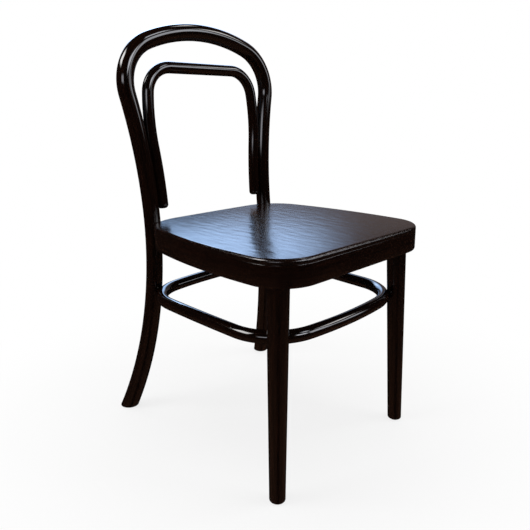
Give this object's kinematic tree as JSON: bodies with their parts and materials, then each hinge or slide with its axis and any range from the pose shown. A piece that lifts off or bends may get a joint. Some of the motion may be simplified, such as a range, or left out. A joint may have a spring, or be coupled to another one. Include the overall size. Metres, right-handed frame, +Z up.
{
  "type": "bentwood chair",
  "caption": "Dark lacquered bentwood bistro chair: arched back hoop that runs down into the rear legs, inner hoop, rounded wooden seat, turned front legs and a leg ring.",
  "frame": {"origin": "on the floor plane, centred between left and right and midway between the seat's front edge and the back of the rear feet", "axes": "+Z up, the sitter faces -Y, +X is the sitter's left"},
  "size_m": [0.477, 0.5462, 0.8789],
  "materials": {
    "bent_wood": "gloss lacquer over dark brown stain",
    "seat_wood": "gloss lacquer over dark brown stain",
    "turned_wood": "gloss lacquer over dark brown stain",
    "block_wood": "thin stain, satin",
    "plug_wood": "gloss lacquer over dark brown stain",
    "bolt_steel": "browned steel",
    "screw_steel": "zinc-plated steel",
    "glide_plastic": "matt moulded plastic"
  },
  "bodies": {
    "root": {"back_hoop": "bent_wood", "inner_hoop": "bent_wood", "leg_ring": "bent_wood", "seat_ring": "seat_wood", "seat_panel": "seat_wood", "front_leg_left": "turned_wood", "front_leg_right": "turned_wood", "corner_block_left": "block_wood", "corner_block_right": "block_wood", "hoop_screw_plugs": "plug_wood", "leg_ring_screw_plugs": "plug_wood", "seat_bolts": "bolt_steel", "seat_bolt_washers": "bolt_steel", "seat_bolt_nuts": "bolt_steel", "hoop_screws": "screw_steel", "leg_ring_screws": "screw_steel", "corner_block_screws": "screw_steel", "panel_screws": "screw_steel", "foot_glides": "glide_plastic", "glide_nails": "screw_steel"}
  },
  "joints": []
}
